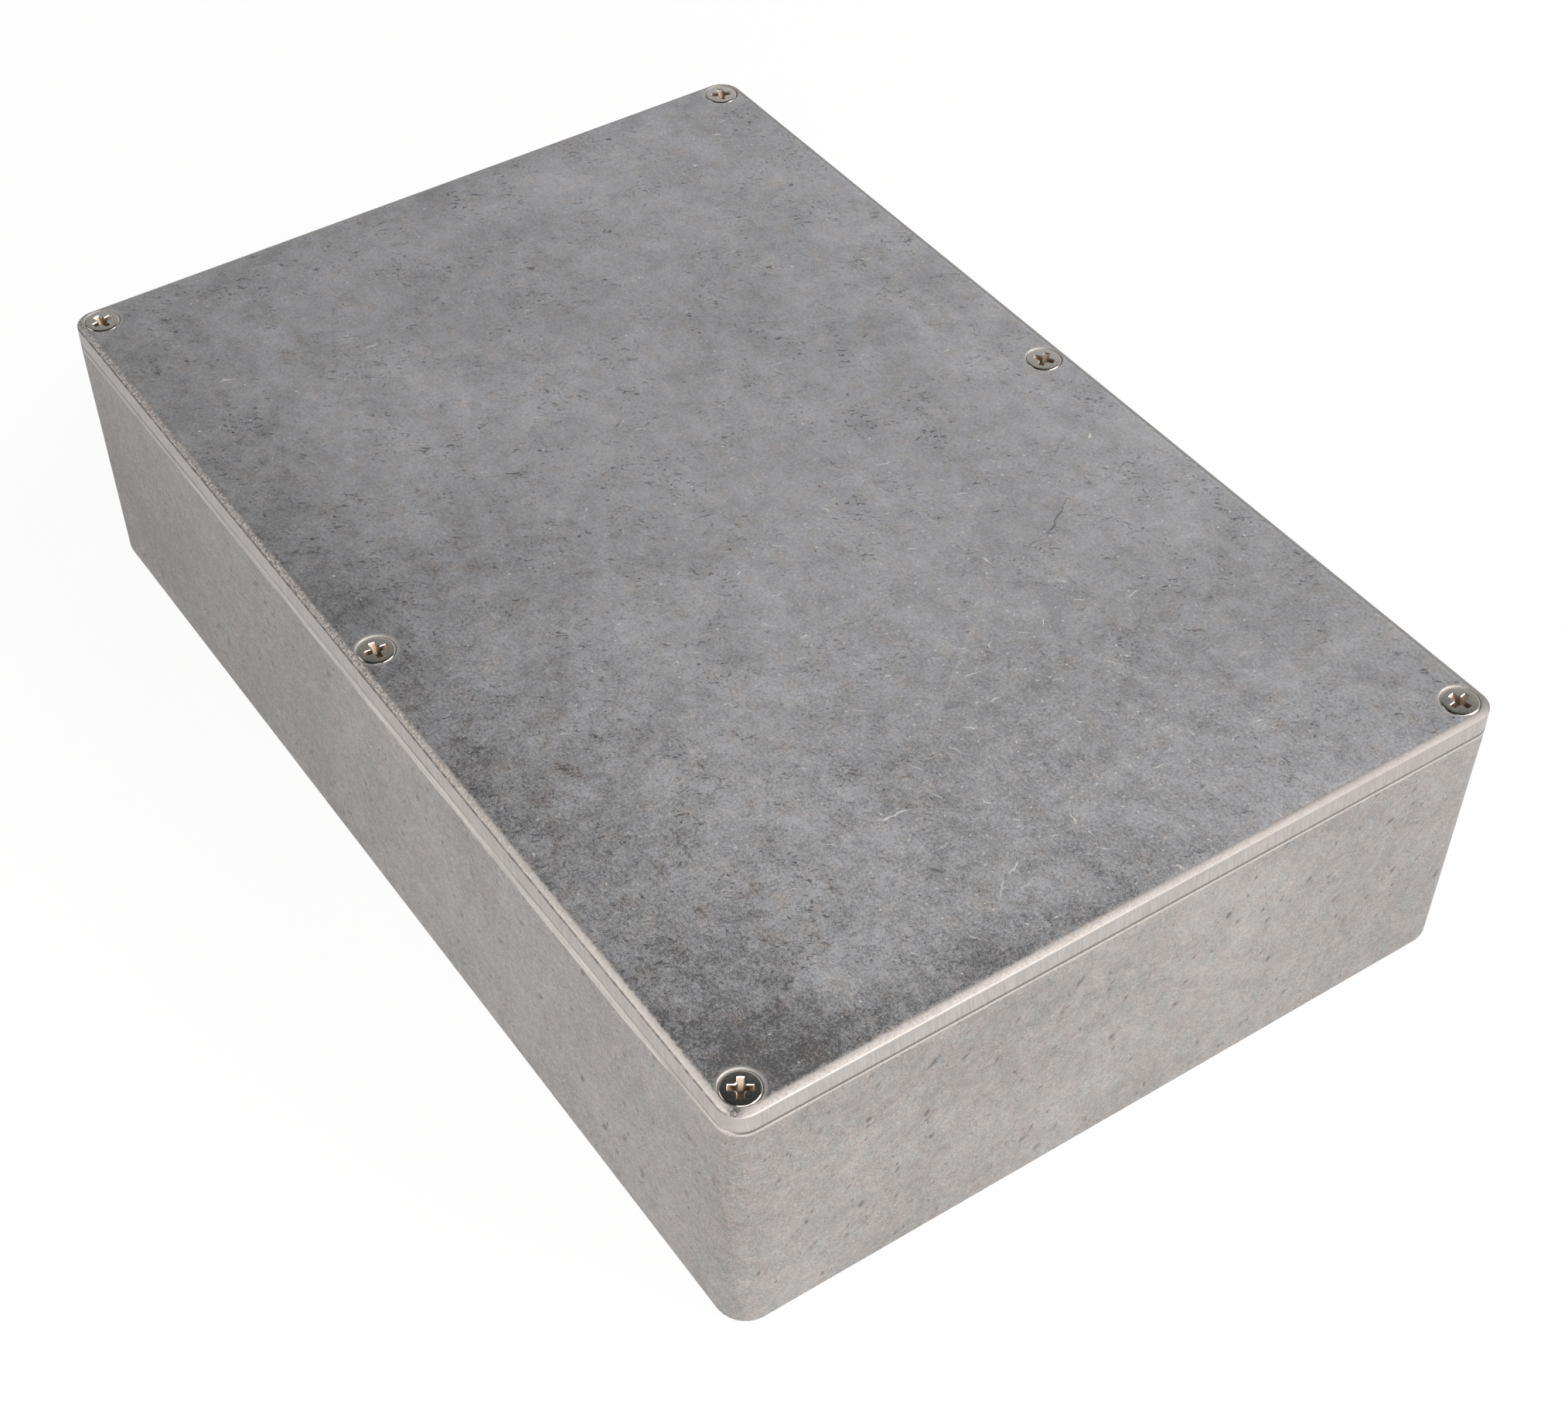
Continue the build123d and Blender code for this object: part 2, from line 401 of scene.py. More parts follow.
    def strokes(self, place, cell, length, width, share, lean, spread, offset=0.0):
        """Short soft strokes that lean at random: one in each cell of a share of the cells."""
        flat = self.vector("SCALE", place, scale=1.0 / cell)
        flat = self.vector("ADD", flat, (offset, offset * 0.7, 0.0))
        made = self.node("ShaderNodeTexVoronoi", voronoi_dimensions="2D", feature="F1")
        self.feed(made.inputs["Vector"], flat)
        self.feed(made.inputs["Scale"], 1.0)
        away = self.vector("SUBTRACT", flat, made.outputs["Position"])
        away = self.vector("SCALE", away, scale=cell)
        red, green, blue = self.split(made.outputs["Color"])
        angle = self.calc("MULTIPLY_ADD", red, spread, lean - spread / 2)
        along, across, _ = self.split(self.rotated(away, angle))
        reach = self.times(self.calc("MULTIPLY_ADD", green, 0.75, 0.25), length / 2)
        inside = self.calc("DIVIDE", self.calc("ABSOLUTE", along), reach)
        thin = self.calc("DIVIDE", self.calc("ABSOLUTE", across), width / 2)
        body = self.times(self.step(inside, 1.0, 0.0), self.step(thin, 1.0, 0.0))
        odds = self.calc("DIVIDE", self.calc("SUBTRACT", share, blue), share)
        strength = self.calc("POWER", self.most(odds, 0.0), 0.7)
        return self.times(body, strength)

    def spot(self, place, centre, reach_x, reach_y, amount):
        """A soft round patch of the given amount about a centre, in millimetres."""
        away = self.vector("SUBTRACT", place, (*centre, HEIGHT))
        away = self.vector("MULTIPLY", away, (1.0 / reach_x, 1.0 / reach_y, 0.0))
        return self.step(self.vector("LENGTH", away), 1.0, 0.0, 0.0, amount)

    def spots(self, place, patches):
        return self.add(*(self.spot(place, *patch) for patch in patches))

    def mark(self, place, start, end, width, amount):
        """A soft line of the given amount from start to end, in millimetres, thinning towards its ends."""
        run = Vector(end) - Vector(start)
        middle = (Vector(end) + Vector(start)) / 2
        away = self.vector("SUBTRACT", place, (middle.x, middle.y, HEIGHT))
        turn = -math.atan2(run.y, run.x)
        away = self.turned(away, turn, 2.0 / run.length, 2.0 / width)
        along, across, _ = self.split(self.vector("ABSOLUTE", away))
        return self.times(self.step(along, 1.0, 0.4), self.step(across, 1.0, 0.0), amount)

    def marks(self, place, lines):
        return self.add(*(self.mark(place, *line) for line in lines))

    def bump(self, height, distance, strength):
        made = self.node("ShaderNodeBump")
        self.feed(made.inputs["Strength"], strength)
        self.feed(made.inputs["Distance"], distance)
        self.feed(made.inputs["Height"], height)
        return made.outputs[0]

    def output(self, kind, shader):
        """The tree's end, fed by a shader."""
        self.tree.links.new(shader.outputs[0], self.node(kind).inputs["Surface"])

    def metal(self, colour, roughness, normal, metallic):
        shader = self.node("ShaderNodeBsdfPrincipled")
        self.feed(shader.inputs["Base Color"], colour)
        self.feed(shader.inputs["Roughness"], roughness)
        self.feed(shader.inputs["Metallic"], metallic)
        self.feed(shader.inputs["Normal"], normal)
        self.output("ShaderNodeOutputMaterial", shader)


def new_material(name):
    material = bpy.data.materials.new(name)
    material.use_nodes = True
    return material, Graph(material.node_tree)


def from_screw(g, place):
    """How far the place lies from the nearest screw's axis, in millimetres."""
    x, y, _ = g.split(place)
    far_y = g.calc("SUBTRACT", g.calc("ABSOLUTE", y), SCREW_Y)
    near_x = g.calc("SUBTRACT", g.calc("ABSOLUTE", x), SCREW_X)
    corner = g.vector("LENGTH", g.join(near_x, far_y))
    middle = g.vector("LENGTH", g.join(x, far_y))
    return g.calc("MINIMUM", corner, middle)


def on_short_side(g):
    """1 on the two short sides, 0 on the long sides."""
    nx, ny, _ = g.normal()
    lead = g.calc("SUBTRACT", g.calc("ABSOLUTE", nx), g.calc("ABSOLUTE", ny))
    return g.step(lead, -0.5, 0.5)


def run_along(g, place, short_side):
    """How far along its side the place lies: Y on the short sides, X on the long ones."""
    x, y, _ = g.split(place)
    return g.add(g.times(y, short_side), g.times(x, g.rest(short_side)))


def ground_tone(g, place, short_side):
    """How light the ground metal is, from 0 to 1, with the fine upright lines that grinding leaves, and
    lighter on the short sides as painted light.
    """
    _, _, z = g.split(place)
    along = run_along(g, place, short_side)
    leaning = g.calc("MULTIPLY_ADD", z, 0.12, along)
    lines = g.noise(g.join(leaning, g.times(z, 0.06)), 4.0, 3.0, 0.7)
    stain = g.noise(place, 0.35, 3.0, 0.6)
    # The short sides start lighter: painted light
    return g.add(g.by_side(short_side, 0.34, 0.5), g.sway(lines, 1.9), g.sway(stain, 0.5))


def dark_marks(g, soft, wavy, crooked, worn, scuffed):
    """The small dark flecks, dots and ticks of the lid, in clusters, and fainter where it is scuffed."""
    dense = g.noise(soft, 0.11, 3.0, 0.6)
    clusters = g.step(g.calc("MULTIPLY_ADD", worn, 0.04, dense), 0.44, 0.64)
    streaky = g.noise(g.turned(wavy, -FLECK_LEAN, 0.45, 1.5), 1.1, 3.0, 0.6)
    flecks = g.times(g.step(streaky, 0.60, 0.67), clusters)
    dots = g.times(g.step(g.noise(wavy, 1.5, 2.0, 0.6), 0.63, 0.69), clusters)
    often = g.step(dense, 0.40, 0.66, 0.06, 0.40)
    long_ticks = g.strokes(crooked, 4.6, 3.0, 0.66, often, -FLECK_LEAN, 1.9)
    short_ticks = g.strokes(crooked, 2.6, 1.5, 0.52, often, -FLECK_LEAN, 2.6, 17.3)
    marks = g.most(flecks, dots, long_ticks, short_ticks)
    return g.times(marks, g.step(scuffed, 0.1, 0.8, 1.0, 0.4))


def scratch_glints(g, place, crooked, scuffed):
    """Where the lid's hairs and scuffs get their painted glint, from 0 to 1: real scratches, with the light
    they catch painted in.
    """
    long_hairs = g.strokes(crooked, 6.5, 4.6, 0.40, scuffed, -FLECK_LEAN, 1.6, 5.1)
    short_hairs = g.strokes(place, 2.2, 0.9, 0.48, scuffed, -FLECK_LEAN, 2.6, 23.9)
    hairs = g.most(long_hairs, short_hairs)
    return g.calc("MULTIPLY_ADD", hairs, 1.1, g.marks(crooked, LID_SCUFF_GLINTS), clamp=True)


def lid_top(g, place):
    """Colour, roughness and height of the lid's dull cast skin."""
    x, y, _ = g.split(place)
    soft = g.noise_shift(place, 0.05, 6.0)
    wavy = g.noise_shift(place, 0.3, 1.2)
    crooked = g.noise_shift(wavy, 1.1, 0.35)
    cloud = g.noise(soft, 0.02, 4.0, 0.55)
    mottle = g.noise(soft, 0.14, 4.0, 0.6)
    patch = g.noise(wavy, 0.5, 4.0, 0.65)
    grain = g.noise(place, 1.8, 3.0, 0.65)
    fine = g.noise(place, 4.6, 2.0, 0.6)
    worn = g.step(g.calc("MULTIPLY_ADD", y, -0.8, x), -40.0, 170.0)
    scuffed = g.add(g.spots(soft, LID_SCUFFED), SCUFFED_ELSEWHERE)
    dark = dark_marks(g, soft, wavy, crooked, worn, scuffed)
    blots = g.step(g.noise(wavy, 0.34, 3.0, 0.6), 0.54, 0.70)
    blots = g.times(blots, g.step(y, 10.0, -70.0, 0.35, 1.0))
    # Darker patches: partly smudges, partly painted shade towards the lid's near edge and its end at
    # negative X
    smudge_and_shade = g.spots(soft, LID_SMUDGES_AND_SHADE)
    cracks = g.marks(crooked, LID_CRACKS)
    darker = g.add(smudge_and_shade, cracks, g.times(dark, 0.60), g.times(blots, 0.14))
    shade = g.add(
        LID_SHADE,
        g.sway(cloud, 0.50),
        g.sway(mottle, 0.60),
        g.sway(patch, g.step(worn, 0.0, 1.0, 0.50, 1.20)),
        g.sway(grain, g.step(worn, 0.0, 1.0, 0.75, 1.60)),
        g.sway(fine, g.step(worn, 0.0, 1.0, 0.60, 1.80)),
        g.spots(soft, LID_HAZE),
        g.times(darker, -1.0),
    )
    warmth = g.add(g.step(g.noise(wavy, 0.33, 3.0, 0.6), 0.50, 0.68), blots)
    colour = g.mix(warmth, g.mix(shade, *SKIN_COOL), g.mix(shade, *SKIN_WARM))
    # Scratches painted near white: a painted glint on real hairs and scuffs
    colour = g.mix(scratch_glints(g, place, crooked, scuffed), colour, SCRATCH_GLINT)
    roughness = g.add(g.calc("MULTIPLY_ADD", mottle, 0.2, LID_ROUGHNESS), g.times(dark, 0.1))
    height = g.add(g.times(grain, 0.6), g.times(patch, 0.3))
    return colour, roughness, height


def lid_round(g, place, short_side, grain):
    """Colour of the lid's rounded edge: a painted highlight towards the near corner, painted shade on the
    far sides.
    """
    x, y, _ = g.split(place)
    long_edge = g.mix(g.step(grain, 0.36, 0.66), *LONG_EDGE)
    # Painted highlight towards the near corner
    highlight = g.times(g.step(x, -10.0, 90.0), 0.75)
    long_edge = g.mix(highlight, long_edge, LONG_EDGE_HIGHLIGHT)
    # Painted shade on the far long side
    long_edge = g.mix(g.step(y, -20.0, 20.0), long_edge, LONG_EDGE_FAR_SHADE)
    short_edge = g.mix(g.step(grain, 0.25, 0.75), *SHORT_EDGE)
    # Painted shade towards the far end of the short side
    short_edge = g.mix(g.step(y, -50.0, 70.0, 0.0, 0.6), short_edge, SHORT_EDGE_FAR_SHADE)
    return g.mix(short_side, long_edge, short_edge)


def arris_light_and_shade(g, place, short_side, colour):
    """The colour with thin lines where the round meets the ground side: painted shade on the long sides, a
    painted highlight on the short ones.
    """
    _, y, z = g.split(place)
    drawn_out = g.join(g.times(run_along(g, place, short_side), 0.3), z)
    broken = g.step(g.noise(drawn_out, 1.4, 4.0, 0.7), 0.30, 0.62, 0.30, 0.90)
    # Painted shade along the arris of the long sides
    long_arris_shade = g.step(g.gap(z, GROUND_TOP + 0.06), 0.20, 0.05)
    colour = g.mix(g.times(long_arris_shade, g.rest(short_side), broken), colour, LONG_ARRIS_SHADE)
    # Painted highlight along the arris of the short sides, fading towards the far end
    short_arris_highlight = g.step(g.gap(z, GROUND_TOP - 0.08), 0.24, 0.10)
    fading = g.step(y, -70.0, 60.0, 0.55, 0.0)
    return g.mix(g.times(short_arris_highlight, short_side, fading), colour, SHORT_ARRIS_HIGHLIGHT)


def countersinks(g, place, top, colour):
    """The colour with the machined cones and the bright burr round each of them."""
    _, _, z = g.split(place)
    away = from_screw(g, place)
    burr = g.step(away, SINK_RADIUS + 0.5, SINK_RADIUS + 0.15, 0.0, 0.5)
    colour = g.mix(g.times(burr, top), colour, BURR)
    rings = g.noise(g.join(away), 9.0, 2.0, 0.6)
    machined = g.mix(g.step(rings, 0.3, 0.7), *MACHINED)
    above_cone = g.gap(z, g.add(away, HEIGHT - SINK_RADIUS))
    return g.mix(g.calc("LESS_THAN", above_cone, 0.04), colour, machined)


def lid_material():
    """Dull cast skin on the top, a bright rounded edge, a ground side and machined countersinks."""
    material, g = new_material("lid_cast")
    place = g.place_mm()
    _, _, z = g.split(place)
    short_side = on_short_side(g)
    top_colour, roughness, height = lid_top(g, place)

    ragged = g.noise(place, 1.2, 4.0, 0.7)
    grain = g.noise(place, 2.4, 5.0, 0.8)
    ground = g.mix(ground_tone(g, place, short_side), *GROUND)
    on_edge = g.step(g.calc("MULTIPLY_ADD", ragged, 0.24, z), GROUND_TOP + 0.02, GROUND_TOP + 0.16)
    colour = g.mix(on_edge, ground, lid_round(g, place, short_side, grain))
    colour = arris_light_and_shade(g, place, short_side, colour)
    stain = g.spot(place, CORNER_STAIN, CORNER_STAIN_REACH, CORNER_STAIN_REACH, 1.0)
    colour = g.mix(g.times(stain, g.step(grain, 0.38, 0.54), on_edge), colour, STAIN)

    top = g.step(g.calc("MULTIPLY_ADD", ragged, 0.30, z), HEIGHT + 0.02, HEIGHT + 0.14)
    colour = g.mix(top, colour, top_colour)
    colour = countersinks(g, place, top, colour)
    # Dark line at the joint: painted shade of the gap between lid and base
    seam_shade = g.step(g.calc("SUBTRACT", z, g.by_side(short_side, *SEAM_TOP)), SEAM_SOFT, -SEAM_SOFT)
    colour = g.mix(g.times(seam_shade, g.by_side(short_side, *SEAM_ON_LID)), colour, SEAM_SHADE)

    edge_height = g.times(g.rest(top), g.times(grain, 2.6))
    relief = g.bump(g.add(height, edge_height), LID_DEPTH, CAST_RELIEF)
    g.metal(colour, roughness, relief, CAST_METALLIC)
    return material


def wall_skin(g, place, short_side):
    """Colour, roughness and height of the base's tumbled walls, with soft smears, leaning stains and painted
    shade on the long sides, deeper towards negative X.
    """
    x, _, z = g.split(place)
    soft = g.noise_shift(place, 0.06, 5.0)
    wavy = g.noise_shift(place, 0.5, 0.9)
    cloud = g.noise(soft, 0.03, 4.0, 0.55)
    mottle = g.noise(soft, 0.2, 5.0, 0.65)
    patch = g.noise(wavy, 0.7, 3.0, 0.6)
    grain = g.noise(place, 2.0, 4.0, 0.7)
    fine = g.noise(place, 4.5, 2.0, 0.6)
    upright = g.noise_shift(g.join(run_along(g, place, short_side), z), 0.7, 0.6)
    often = g.step(g.noise(soft, 0.08, 3.0, 0.6), 0.42, 0.62, 0.10, 0.55)
    large_stains = g.strokes(upright, 7.5, 4.6, 1.4, often, STAIN_LEAN, 0.9)
    small_stains = g.strokes(upright, 3.2, 2.0, 0.8, often, STAIN_LEAN, 1.4, 11.9)
    stains = g.most(large_stains, small_stains)
    # Painted shade on the long sides, deeper towards negative X
    shaded = g.times(g.rest(short_side), g.step(x, 60.0, -100.0, 0.10, 0.24))
    tone = g.add(
        WALL_SHADE,
        g.sway(cloud, 0.5),
        g.sway(mottle, 0.55),
        g.sway(patch, 0.5),
        g.sway(grain, 0.8),
        g.sway(fine, 1.1),
        g.times(g.add(shaded, g.times(stains, 0.70)), -1.0),
    )
    pinkness = g.step(g.noise(wavy, 0.45, 3.0, 0.6), 0.40, 0.60)
    colour = g.mix(pinkness, g.mix(tone, *WALL_GREY), g.mix(tone, *WALL_PINK))
    smear = g.step(g.noise(soft, 0.11, 4.0, 0.6), 0.62, 0.78)
    colour = g.mix(g.times(smear, 0.28), colour, WALL_SMEAR)
    roughness = g.calc("MULTIPLY_ADD", mottle, 0.2, WALL_ROUGHNESS)
    height = g.add(g.times(grain, 0.9), g.times(patch, 0.6))
    return colour, roughness, height


def ground_band(g, place, short_side):
    """Where the ground band under the joint lies, from 0 to 1, and its colour, with painted light towards
    the end at positive X of the long sides and on the short sides.
    """
    x, _, z = g.split(place)
    _, ny, _ = g.normal()
    fading = g.step(x, -100.0, 40.0, LONG_LAND - BAND_FAR_LOSS, LONG_LAND)
    long_land = g.add(fading, g.step(x, 80.0, 104.0, 0.0, -BAND_NEAR_LOSS))
    land = g.step(g.calc("ABSOLUTE", ny), 0.75, 1.0, SHORT_LAND + BAND_SHORT_GAIN, long_land)
    ragged = g.sway(g.noise(place, 0.12, 3.0, 0.6), g.by_side(short_side, 0.9, 0.5))
    depth = g.calc("SUBTRACT", JOINT_Z, z)
    share = g.step(g.calc("SUBTRACT", g.add(land, ragged), depth), -BAND_SOFT, BAND_SOFT)

    long_side = g.rest(short_side)
    # Painted light: the lit colour towards positive X on the long sides and all over the short sides
    lit_share = g.most(g.times(g.step(x, -110.0, 60.0), long_side), short_side)
    along = run_along(g, place, short_side)
    level_lines = g.noise(g.join(g.times(along, 0.02), z), 2.4, 3.0, 0.7)
    tone = g.add(ground_tone(g, place, short_side), g.times(g.sway(level_lines, 3.0), long_side))
    dark, light = (g.mix(lit_share, shaded, lit) for shaded, lit in zip(GROUND, GROUND_LIT))
    return share, g.mix(tone, dark, light)


def base_material():
    """Tumbled cast walls, and the ground band under the joint."""
    material, g = new_material("base_cast")
    place = g.place_mm()
    _, _, z = g.split(place)
    short_side = on_short_side(g)
    colour, roughness, height = wall_skin(g, place, short_side)
    share, ground = ground_band(g, place, short_side)
    colour = g.mix(share, colour, ground)
    # Dark line at the joint: painted shade of the gap between lid and base
    seam_shade = g.step(g.calc("SUBTRACT", z, g.by_side(short_side, *SEAM_FOOT)), -SEAM_SOFT, SEAM_SOFT)
    colour = g.mix(g.times(seam_shade, g.by_side(short_side, *SEAM_ON_BASE)), colour, SEAM_SHADE)
    g.metal(colour, roughness, g.bump(height, WALL_DEPTH, CAST_RELIEF), CAST_METALLIC)
    return material


def screw_material():
    """Bright nickel plate, a little warm, with a faint grain; golden in the cross recess and darker there as
    painted shade.
    """
    material, g = new_material("nickel_plate")
    place = g.place_mm()
    x, y, z = g.split(place)
    grain = g.noise(place, 3.0, 3.0, 0.6)
    inner = g.calc("LESS_THAN", g.vector("LENGTH", g.join(x, y)), RECESS_SPAN / 2 + RECESS_LIP)
    recessed = g.times(inner, g.step(z, -0.02, -0.25))
    light = g.step(grain, 0.3, 0.7)
    # Golden and darker in the recess: the darkening is painted shade
    colour = g.mix(recessed, g.mix(light, *PLATE), g.mix(light, *PLATE_RECESS_SHADED))
    roughness = g.add(g.calc("MULTIPLY_ADD", grain, 0.12, PLATE_ROUGHNESS), g.times(recessed, 0.30))
    g.metal(colour, roughness, g.bump(grain, PLATE_DEPTH, PLATE_RELIEF), PLATE_METALLIC)
    return material


def ring(mesh, radius, z, sides):
    """A level ring of points about the screw's axis."""
    turns = (2 * math.pi * i / sides for i in range(sides))
    return [mesh.verts.new((radius * math.cos(a), radius * math.sin(a), z)) for a in turns]


def cross_ring(mesh, span, wing, z):
    """A ring of points round the cross recess, with a flat across each inner corner."""
    corner = wing * RECESS_CORNER
    half = wing / 2
    tip = span / 2
    wing_points = ((corner, -half), (tip, -half), (span * RECESS_END, 0.0), (tip, half), (corner, half))
    points = []
    for quarter in range(4):
        turn = Matrix.Rotation(quarter * math.pi / 2, 3, "Z")
        points += [mesh.verts.new(turn @ Vector((along, across, z))) for along, across in wing_points]
    return points


def skin_between(mesh, upper, lower):
    """Quads from one ring down to the next, facing outwards."""
    count = len(upper)
    for i in range(count):
        k = (i + 1) % count
        mesh.faces.new((upper[i], lower[i], lower[k], upper[k]))


def head_and_shank(mesh):
    """The turned body, open at the top: rounded rim, 90 degree cone, the thread's root, bevelled tip."""
    rings = []
    for i in range(HEAD_STEPS + 1):
        turn = i / HEAD_STEPS * HEAD_ARC
        radius = HEAD_FLAT + HEAD_ROUND * math.sin(turn)
        rings.append(ring(mesh, radius, -HEAD_ROUND * (1 - math.cos(turn)), HEAD_SIDES))
    neck_z = -HEAD_RIM - (HEAD_RADIUS - THREAD_ROOT)
    rings.append(ring(mesh, THREAD_ROOT, neck_z, HEAD_SIDES))
    rings.append(ring(mesh, THREAD_ROOT, -SCREW_LENGTH + TIP_BREAK, HEAD_SIDES))
    rings.append(ring(mesh, THREAD_ROOT - TIP_BREAK / 2, -SCREW_LENGTH, HEAD_SIDES))
    for upper, lower in zip(rings, rings[1:]):
        skin_between(mesh, upper, lower)
    mesh.faces.new(reversed(rings[-1]))


def recess(mesh):
    """The cross recess, from its broken mouth down to its foot."""
    mouth = cross_ring(mesh, RECESS_SPAN + 2 * RECESS_LIP, RECESS_WING + 2 * RECESS_LIP, 0.0)
    throat = cross_ring(mesh, RECESS_SPAN, RECESS_WING, -RECESS_LIP)
    foot = cross_ring(mesh, RECESS_FOOT, RECESS_WING * RECESS_FOOT_WING, -RECESS_DEPTH)
    skin_between(mesh, throat, mouth)
    skin_between(mesh, foot, throat)
    mesh.faces.new(foot)


def thread(mesh):
    """One ridge wound down the shank, closed at both ends."""
    top_z = -HEAD_RIM - (HEAD_RADIUS - THREAD_RADIUS) - THREAD_PITCH
    turns = int((SCREW_LENGTH + top_z - TIP_BREAK) / THREAD_PITCH)
    root = THREAD_ROOT - THREAD_BURIED
    ridge = (
        (root, THREAD_FOOT),
        (THREAD_RADIUS, THREAD_CREST),
        (THREAD_RADIUS, -THREAD_CREST),
        (root, -THREAD_FOOT),
    )
    rows = []
    for i in range(turns * THREAD_SIDES + 1):
        turn = 2 * math.pi * i / THREAD_SIDES
        z = top_z - THREAD_PITCH * i / THREAD_SIDES
        across = ((r * math.cos(turn), r * math.sin(turn), z + up * THREAD_PITCH) for r, up in ridge)
        rows.append([mesh.verts.new(point) for point in across])
    for row, after in zip(rows, rows[1:]):
        skin_between(mesh, after, row)
    mesh.faces.new(rows[0])
    mesh.faces.new(reversed(rows[-1]))


def screw_mesh(material):
    """One countersunk cross-recess machine screw, as a mesh in metres."""
    mesh = bmesh.new()
    head_and_shank(mesh)
    recess(mesh)
    borders = [edge for edge in mesh.edges if edge.is_boundary]
    bmesh.ops.bridge_loops(mesh, edges=borders)
    thread(mesh)
    bmesh.ops.recalc_face_normals(mesh, faces=mesh.faces)
    bmesh.ops.scale(mesh, vec=(MM, MM, MM), verts=mesh.verts)
    made = bpy.data.meshes.new("lid_screw")
    mesh.to_mesh(made)
    mesh.free()
    made.shade_smooth()
    made.set_sharp_from_angle(angle=SHARP_ANGLE)
    made.materials.append(material)
    return made


def place_screws():
    """The six lid screws, each with its recess turned as in the photograph."""
    made = screw_mesh(screw_material())
    for number, ((i, j), turn) in enumerate(SCREW_TURNS.items(), 1):
        piece = bpy.data.objects.new(f"lid_screw_{number}", made)
        piece.location = (i * SCREW_X * MM, j * SCREW_Y * MM, HEAD_TOP_Z * MM)
        piece.rotation_euler.z = math.radians(turn)
        bpy.context.scene.collection.objects.link(piece)
        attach(piece, "root")
        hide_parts("lid_screws")


def within(value, low, high):
    return min(max(value, low), high)


def tight_radius(z):
    """The castings' corner radius at a height: tight at the joint and above, fuller towards the foot."""
    share = within((JOINT_Z - z) / JOINT_Z, 0.0, 1.0)
    return JOINT_RADIUS + share * (FOOT_RADIUS - JOINT_RADIUS)


def on_tight_corner(local, z):
    """Where a point of the solids' corner goes on the tighter corner, and the way that it faces there."""
    radius = tight_radius(z)
    straight = CORNER_RADIUS - radius
    quarter = math.pi / 2
    first = quarter / CORNER_SIDES
    angle = math.atan2(local.y, local.x)
    facing = within((angle - first) / (quarter - 2 * first), 0.0, 1.0) * quarter
    reach = radius - CORNER_RADIUS + local.length
    moved = Vector((straight + reach * math.cos(facing), straight + reach * math.sin(facing)))
    if angle < first:
        moved.y = straight * angle / first
    if angle > quarter - first:
        moved.x = straight * (quarter - angle) / first
    return moved, facing


def round_tilt(inset):
    """The sine of the slope of the lid's cast round, at a place so far inside the ground outline."""
    return max(ROUND_LEFT - inset, 0.0) / EDGE_ROUND


def round_drop(tilt):
    """How far the lid's cast round lies below the top where it has that slope."""
    return EDGE_ROUND * (1 - math.sqrt(1 - tilt * tilt))


def on_sink_mouth(local):
    """Where a point of a corner countersink's mouth goes, its drop, the way that it faces and its slope."""
    straight = CORNER_RADIUS - JOINT_RADIUS
    axis = Vector((CORNER_SCREW, CORNER_SCREW))
    way = (local - axis).normalized()
    drop = 0.0
    for _ in range(MOUTH_TRIES):
        moved = axis + (SINK_RADIUS - drop) * way
        beyond = Vector((max(moved.x - straight, 0.0), max(moved.y - straight, 0.0)))
        tilt = round_tilt(JOINT_RADIUS - beyond.length)
        drop = round_drop(tilt)
    return moved, drop, math.atan2(beyond.y, beyond.x), tilt


def corner_part(local, z):
    """The part of a corner that a point of the solids lies on: outside, a countersink's mouth or other."""
    if min(local) <= 0.0:
        return "other"
    away = (local - Vector((CORNER_SCREW, CORNER_SCREW))).length
    round_z = HEIGHT - round_drop(round_tilt(CORNER_RADIUS - local.length))
    if z > JOINT_Z and away < SINK_RADIUS - HEIGHT + z + SLACK:
        return "mouth" if abs(z - round_z) < MOUTH_SLACK else "other"
    skin = FOOT_SKIN if z < FOOT_TOP else WALL_SKIN
    if z > GROUND_TOP - SLACK:
        skin = EDGE_ROUND
    return "outside" if local.length > CORNER_RADIUS - skin else "other"


def turned_normal(normal, outward, tilt):
    """A corner's normal turned to face outward. On a countersink's mouth only the lid's round turns."""
    level = math.hypot(normal.x, normal.y)
    if tilt is None:
        return outward * level + Vector((0.0, 0.0, normal.z))
    if normal.dot(outward) <= LEAST_LEAN:
        return normal
    return outward * tilt + Vector((0.0, 0.0, math.sqrt(1 - tilt * tilt)))


def tight_corners(solid):
    """A copy of a casting's mesh with its four upright corners drawn out to the tighter radii."""
    mesh = solid.copy()
    normals = [Vector(corner.vector) for corner in solid.corner_normals]
    changed = {}
    for point in mesh.vertices:
        place = point.co / MM
        side = Vector((math.copysign(1.0, place.x), math.copysign(1.0, place.y)))
        local = Vector((abs(place.x) - CORNER_X, abs(place.y) - CORNER_Y))
        part = corner_part(local, place.z)
        if part == "other":
            continue
        if part == "mouth":
            moved, drop, facing, tilt = on_sink_mouth(local)
            place.z = HEIGHT - drop
        else:
            moved, facing = on_tight_corner(local, place.z)
            tilt = None
        outward = Vector((side.x * math.cos(facing), side.y * math.sin(facing), 0.0))
        changed[point.index] = (outward, tilt)
        point.co = Vector((side.x * (CORNER_X + moved.x), side.y * (CORNER_Y + moved.y), place.z)) * MM
    for loop in mesh.loops:
        if loop.vertex_index in changed:
            outward, tilt = changed[loop.vertex_index]
            normals[loop.index] = turned_normal(normals[loop.index], outward, tilt)
    mesh.normals_split_custom_set(normals)
    return mesh


